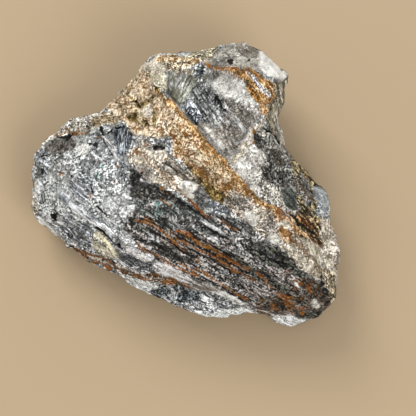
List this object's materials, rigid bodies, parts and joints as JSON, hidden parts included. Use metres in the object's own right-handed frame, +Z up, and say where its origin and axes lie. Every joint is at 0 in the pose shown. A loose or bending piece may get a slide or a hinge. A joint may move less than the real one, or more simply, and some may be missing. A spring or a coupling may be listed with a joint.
{
  "type": "black tourmalinated quartz",
  "caption": "Hand-sized broken lump of quartz full of black tourmaline, with a rust-stained crest and streaks fanning across one face.",
  "frame": {"origin": "on the table, at the middle of the stone's bounding box seen from above, at the height of its flat underside", "axes": "+Z up from the flat underside; +X along the longest width, from the pale rounded lobe towards the tip where the streaks meet; +Y towards the hollow and the white block at the far end"},
  "size_m": [0.0817, 0.0761, 0.0414],
  "materials": {
    "tourmalinated_quartz": "rough broken stone: white and grey quartz grains, glossy blue-black tourmaline fibres and rust-brown iron stain, with small glints"
  },
  "bodies": {
    "root": {"tourmalinated_quartz": "tourmalinated_quartz"}
  },
  "joints": []
}
